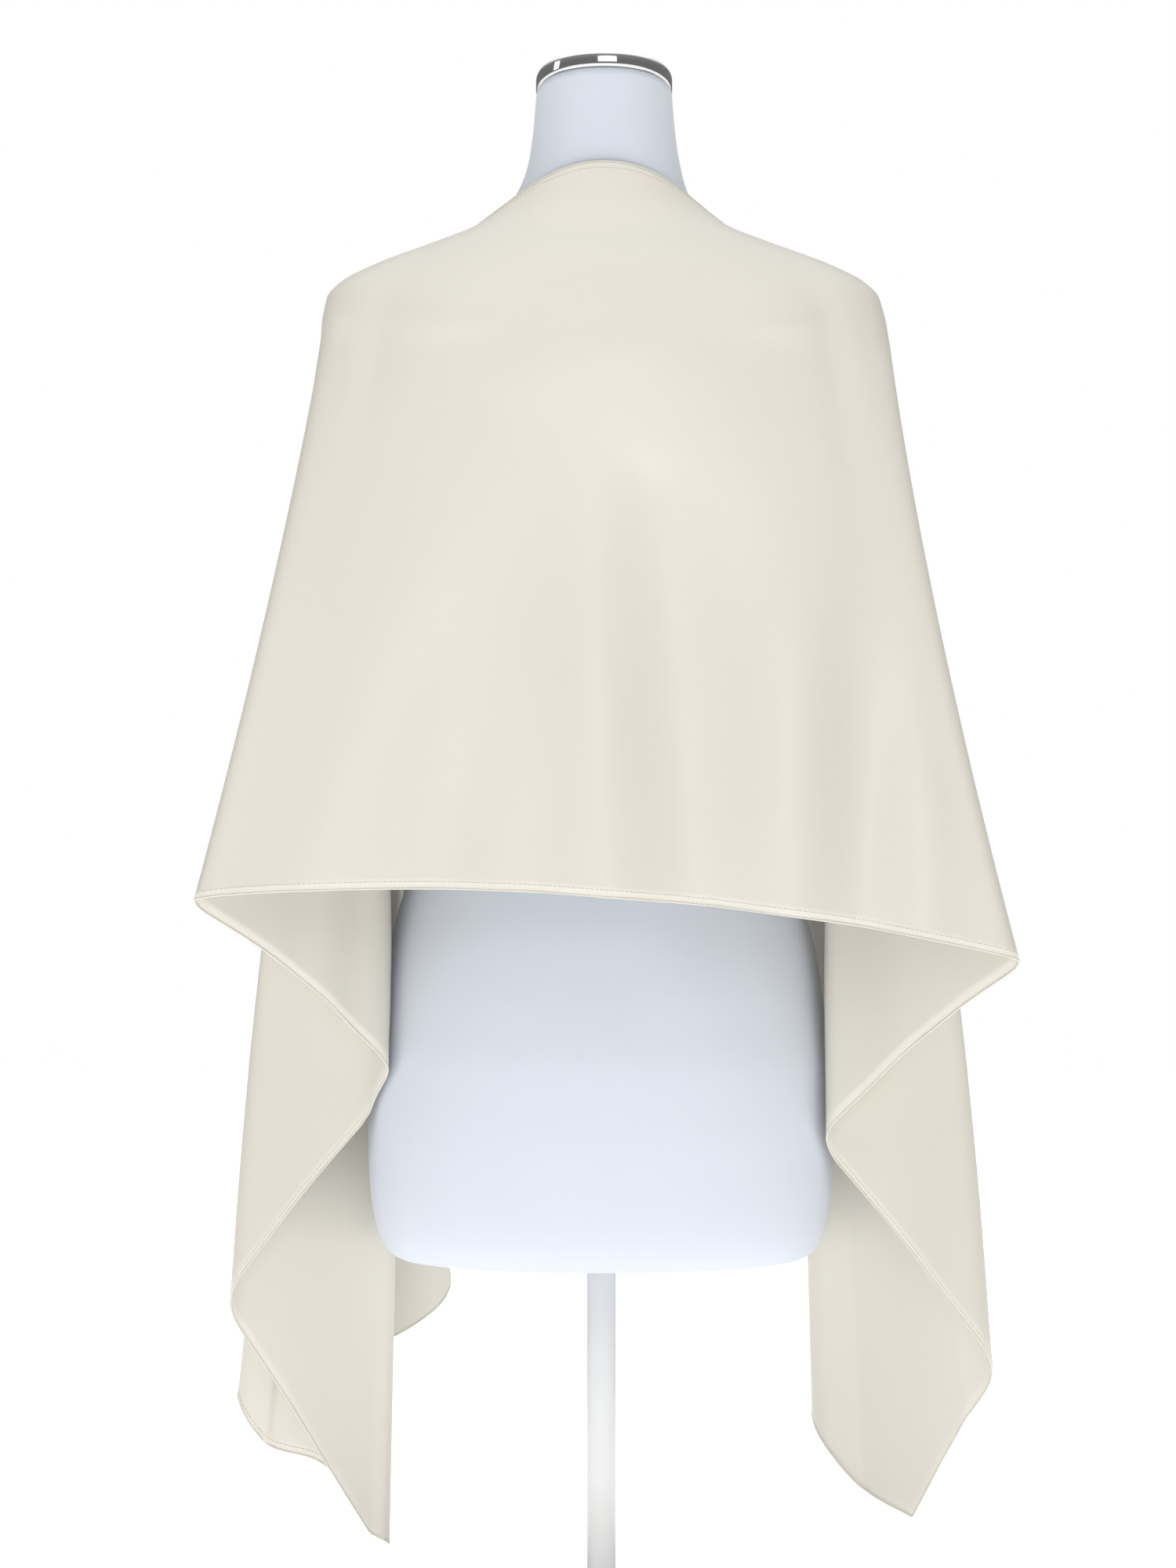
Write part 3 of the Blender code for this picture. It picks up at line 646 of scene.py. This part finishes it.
def form_rings():
    """The dress form's levels as rings of points."""
    turn = np.linspace(0, 2 * math.pi, FORM_SIDES, endpoint=False)
    low, high = FORM_LEVELS[0][0], FORM_LEVELS[-1][0]
    evenly = np.linspace(low, high, FORM_ROWS)
    edge = np.linspace(low, low + FORM_EDGE, 8)
    rings = []
    for z in sorted(set(np.round(np.concatenate([evenly, edge]), 5))):
        radius = form_radius(turn, np.full(FORM_SIDES, z))
        ring = np.stack([radius * np.sin(turn), -radius * np.cos(turn), np.full(FORM_SIDES, z)], axis=1)
        rings.append(tilt_neck(ring))
    return rings


def cap_rings():
    """The neck cap's levels: an oval plate with rounded edges, lying on the neck's sloping top."""
    turn = np.linspace(0, 2 * math.pi, ROUND_SIDES, endpoint=False)
    radius = form_radius(turn, np.full(ROUND_SIDES, NECK_TOP_Z)) + CAP_OVERHANG
    round_steps = np.linspace(0, math.pi / 2, 7)
    levels = [(CAP_BEVEL * (1 - math.cos(a)), CAP_BEVEL * (1 - math.sin(a))) for a in round_steps]
    levels += [(CAP_HEIGHT - lift, inset) for lift, inset in reversed(levels)]
    rings = []
    for lift, inset in levels:
        reach = radius - inset
        ring = np.stack([reach * np.sin(turn), -reach * np.cos(turn), np.zeros(ROUND_SIDES)], axis=1)
        ring[:, 2] = NECK_TOP_Z + SEAM_GAP + lift - ring[:, 1] * NECK_TILT
        ring[:, 0] += NECK_ASIDE
        rings.append(ring)
    return rings


def round_rings(profile):
    """Rings of a turned solid from (radius, z) rows, the lowest first."""
    turn = np.linspace(0, 2 * math.pi, ROUND_SIDES, endpoint=False)
    across, along = np.cos(turn), np.sin(turn)
    return [np.stack([r * across, r * along, np.full(ROUND_SIDES, z)], axis=1) for r, z in profile]


def flat_lengths(grid):
    """Each cloth point's place in the flat cut, near enough for its weave: metres along and across."""
    middle = np.linalg.norm(np.diff(grid, axis=0), axis=2).mean(axis=1)
    along = np.concatenate([[0], np.cumsum(middle)])
    across = np.cumsum(np.linalg.norm(np.diff(grid, axis=1, prepend=grid[:, :1]), axis=2), axis=1)
    return np.stack([np.repeat(along[:, None], grid.shape[1], axis=1), across], axis=2)


def add_stole():
    """The stole's sheet, its rolled hem and its stitches."""
    grid = stole_grid()
    normal = facing(grid)
    n, m = grid.shape[:2]
    outer, inner = grid + normal * SHEET_WALL / 2, grid - normal * SHEET_WALL / 2
    places = flat_lengths(grid).reshape(-1, 2)
    faces = grid_faces(n, m)
    faces += [tuple(n * m + v for v in reversed(face)) for face in faces]
    rim = [(i, 0) for i in range(n)] + [(n - 1, k) for k in range(1, m)]
    rim += [(i, m - 1) for i in range(n - 2, -1, -1)] + [(0, k) for k in range(m - 2, 0, -1)]
    for (i, k), (p, q) in zip(rim, rim[1:] + rim[:1]):
        a, b = i * m + k, p * m + q
        faces.append((a, b, b + n * m, a + n * m))
    vertices = np.concatenate([outer.reshape(-1, 3), inner.reshape(-1, 3)])
    satin = satin_material("satin", SATIN_GLOSS, 1.0)
    sheet = mesh_piece("stole_sheet", vertices, faces, satin, uv=np.concatenate([places, places]))

    edge = np.array([grid[i, k] for i, k in rim])
    step = np.linalg.norm(np.diff(edge, axis=0, append=edge[:1]), axis=1)
    length = np.concatenate([[0], np.cumsum(step)])
    count = int(length[-1] / HEM_STEP)
    mark = np.linspace(0, length[-1], count, endpoint=False)
    loop = np.vstack([edge, edge[:1]])
    smooth_edge = np.stack([np.interp(mark, length, loop[:, i]) for i in range(3)], axis=1)
    uneven = HEM_RADIUS * (1 + HEM_UNEVEN * np.sin(mark * 61.0) * np.sin(mark * 23.0 + 1.0))
    hem_vertices, hem_faces = tube(smooth_edge, uneven, HEM_SIDES, closed=True)
    # The hem's satin is darker than the sheet: painted shade along the rolled edge.
    hem_satin = satin_material("hem_satin", HEM_GLOSS, HEM_PAINTED_SHADE)
    hem = mesh_piece("stole_hem", hem_vertices, hem_faces, hem_satin, uv=np.zeros((len(hem_vertices), 2)))
    return sheet, hem, add_stitches(grid, normal, rim)


def add_stitches(grid, normal, rim):
    """One line of small raised stitches on the outer side, a little inside the hem all the way round."""
    n, m = grid.shape[:2]
    line, out = [], []
    for i, k in rim:
        a, b = min(max(i, 1), n - 2), min(max(k, 1), m - 2)
        step = grid[a, b] - grid[i, k]
        reach = np.linalg.norm(step)
        while reach < STITCH_INSET and 1 < a < n - 2 and 1 < b < m - 2:
            a, b = a + np.sign(a - i), b + np.sign(b - k)
            step = grid[a, b] - grid[i, k]
            reach = np.linalg.norm(step)
        line.append(grid[i, k] + step * STITCH_INSET / reach)
        out.append(normal[i, k])
    line, out = np.array(line + line[:1]), np.array(out + out[:1])
    length = np.concatenate([[0], np.cumsum(np.linalg.norm(np.diff(line, axis=0), axis=1))])
    vertices, faces = [], []
    for start in np.arange(0, length[-1] - STITCH_LENGTH, STITCH_PITCH):
        mark = np.array([start, start + STITCH_LENGTH / 2, start + STITCH_LENGTH])
        path = np.stack([np.interp(mark, length, line[:, i]) for i in range(3)], axis=1)
        lift = unit(np.stack([np.interp(mark, length, out[:, i]) for i in range(3)], axis=1))
        path = path + lift * (SHEET_WALL / 2 + STITCH_RADIUS * np.array([0.1, 0.7, 0.1]))[:, None]
        points, sides = tube(path, STITCH_RADIUS, STITCH_SIDES)
        faces += [tuple(len(vertices) + v for v in face) for face in sides]
        vertices += [tuple(point) for point in points]
    return mesh_piece("stole_stitches", vertices, faces, thread_material())


def thread_material():
    """Plain spun thread, a little duller and darker than the satin."""
    material, tree, shader = new_material("thread", (0.66, 0.61, 0.51), 0.62)
    where = node(tree, "ShaderNodeTexCoord", (-1000, 0))
    cloudy = node(tree, "ShaderNodeTexNoise", (-800, 0), Scale=900.0, Detail=1.0, Roughness=0.5)
    tree.links.new(where.outputs["Object"], cloudy.inputs["Vector"])
    tint = node(tree, "ShaderNodeMix", (-500, 0), data_type="RGBA")
    tint.inputs[6].default_value = (0.60, 0.55, 0.45, 1.0)
    tint.inputs[7].default_value = (0.70, 0.65, 0.55, 1.0)
    tree.links.new(cloudy.outputs["Fac"], tint.inputs[0])
    tree.links.new(tint.outputs[2], shader.inputs["Base Color"])
    return material


def area_light(name, place, aim, size, power, in_gloss, on_cloth=True):
    """A soft lamp that looks at a point; it shows in gloss or not, and lights matt surfaces or not."""
    data = bpy.data.lights.new(name, "AREA")
    data.shape = "RECTANGLE"
    data.size, data.size_y = size
    data.energy = power
    data.color = KEY_COLOUR
    lamp = bpy.data.objects.new(name, data)
    bpy.context.scene.collection.objects.link(lamp)
    lamp.visible_glossy = in_gloss
    lamp.visible_diffuse = on_cloth
    lamp.location = place
    lamp.rotation_euler = (Vector(aim) - Vector(place)).to_track_quat("-Z", "Y").to_euler()


def add_world():
    """A plain white surround for the camera, even light for cloth, and a bright ceiling for gloss to show."""
    world = bpy.data.worlds.new("surround")
    world.use_nodes = True
    bpy.context.scene.world = world
    tree = world.node_tree
    tree.nodes.clear()
    where = node(tree, "ShaderNodeTexCoord", (-900, -200))
    split = node(tree, "ShaderNodeSeparateXYZ", (-700, -200))
    tree.links.new(where.outputs["Generated"], split.inputs[0])
    height = node(tree, "ShaderNodeMapRange", (-500, -200), interpolation_type="SMOOTHSTEP")
    height.inputs["From Min"].default_value, height.inputs["From Max"].default_value = CEILING_FROM
    height.inputs["To Min"].default_value, height.inputs["To Max"].default_value = GLOSS_LIGHT
    tree.links.new(split.outputs["Z"], height.inputs["Value"])
    path = node(tree, "ShaderNodeLightPath", (-300, 500))
    even = node(tree, "ShaderNodeBackground", (0, 0), Color=WORLD_COLOUR, Strength=WORLD_LIGHT)
    ceiling = node(tree, "ShaderNodeBackground", (0, -200), Color=(1.0, 1.0, 1.0, 1.0))
    tree.links.new(height.outputs["Result"], ceiling.inputs["Strength"])
    seen = node(tree, "ShaderNodeBackground", (0, 200), Color=(1.0, 1.0, 1.0, 1.0), Strength=1.0)
    glossy = node(tree, "ShaderNodeMixShader", (250, -100))
    tree.links.new(path.outputs["Is Glossy Ray"], glossy.inputs[0])
    tree.links.new(even.outputs[0], glossy.inputs[1])
    tree.links.new(ceiling.outputs[0], glossy.inputs[2])
    mix = node(tree, "ShaderNodeMixShader", (450, 100))
    out = node(tree, "ShaderNodeOutputWorld", (650, 100))
    tree.links.new(path.outputs["Is Camera Ray"], mix.inputs[0])
    tree.links.new(glossy.outputs[0], mix.inputs[1])
    tree.links.new(seen.outputs[0], mix.inputs[2])
    tree.links.new(mix.outputs[0], out.inputs["Surface"])


sheet, hem, stitches = add_stole()
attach(sheet, "root")
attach(hem, "root")
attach(stitches, "root")
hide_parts(*STRETCHES)

form = mesh_piece("form_jersey", *loft(form_rings()), jersey_material())
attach(form, "root")
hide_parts("dress_form")

cap_metal = worn_metal("cap_metal", (0.66, 0.66, 0.67), 0.05, 0.10, 1.0, 30.0)
cap = mesh_piece("cap_plate", *loft(cap_rings()), cap_metal)
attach(cap, "root")
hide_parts("neck_cap")

white_paint = worn_metal("stand_paint", (0.86, 0.86, 0.86), 0.32, 0.42, 0.0, 18.0)
pole_profile = [(POLE_RADIUS, BASE_THICKNESS + SEAM_GAP), (POLE_RADIUS, FORM_LEVELS[0][0] - SEAM_GAP)]
pole = mesh_piece("pole_tube", *loft(round_rings(pole_profile)), white_paint)
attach(pole, "root")
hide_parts("stand_pole")

base_profile = [(BASE_RADIUS, 0.0)]
for angle in np.linspace(math.pi / 2, 0, 7):
    radius = BASE_RADIUS - BASE_BEVEL * (1 - math.sin(angle))
    base_profile.append((radius, BASE_THICKNESS - BASE_BEVEL * (1 - math.cos(angle))))
base = mesh_piece("base_plate", *loft(round_rings(base_profile)), white_paint)
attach(base, "root")
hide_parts("stand_base")

floor_material, _, floor_shader = new_material("floor", (0.95, 0.95, 0.95), 0.9)
floor_shader.inputs["Emission Color"].default_value = (1.0, 1.0, 1.0, 1.0)
floor_shader.inputs["Emission Strength"].default_value = FLOOR_GLOW
floor_corners = [(x, y, -FLOOR_DROP) for x, y in ((-6, -6), (6, -6), (6, 6), (-6, 6))]
floor = mesh_piece("floor", floor_corners, [(0, 1, 2, 3)], floor_material)

add_world()
area_light("front", (-0.10, -3.1, 0.15), (0.0, 0.0, 0.52), (2.2, 0.9), FRONT_POWER, False)
area_light("side_left", (-2.3, -2.0, 2.0), (0.0, 0.0, 0.65), (1.6, 1.6), LEFT_POWER, False)
area_light("side_right", (2.3, -2.0, 2.0), (0.0, 0.0, 0.65), (1.6, 1.6), RIGHT_POWER, False)
area_light("top", (0.0, -0.5, 3.1), (0.0, 0.0, 0.75), (2.6, 1.6), TOP_POWER, False)
area_light("far", (0.0, 3.2, 1.50), (0.0, 0.0, 0.65), (2.4, 1.6), FAR_POWER, False)
area_light("glint", (0.25, -3.1, 1.60), (0.0, 0.0, 1.09), (1.3, 0.5), GLINT_POWER, True, False)
area_light("side_glint", (-3.0, -0.1, 1.57), (0.0, 0.0, 1.09), (0.7, 0.5), SIDE_GLINT_POWER, True, False)

camera_data = bpy.data.cameras.new("camera")
camera_data.sensor_width = 36.0
half_angle = math.atan(IMAGE_HEIGHT / 2 * PIXEL / CAMERA_DISTANCE)
camera_data.lens = camera_data.sensor_width / 2 / math.tan(half_angle)
camera = bpy.data.objects.new("camera", camera_data)
bpy.context.scene.collection.objects.link(camera)
camera.location = (CAMERA_X, -CAMERA_DISTANCE, CAMERA_Z)
camera.rotation_euler = (math.pi / 2, 0.0, 0.0)
bpy.context.scene.camera = camera
bpy.context.scene.view_settings.view_transform = "Standard"
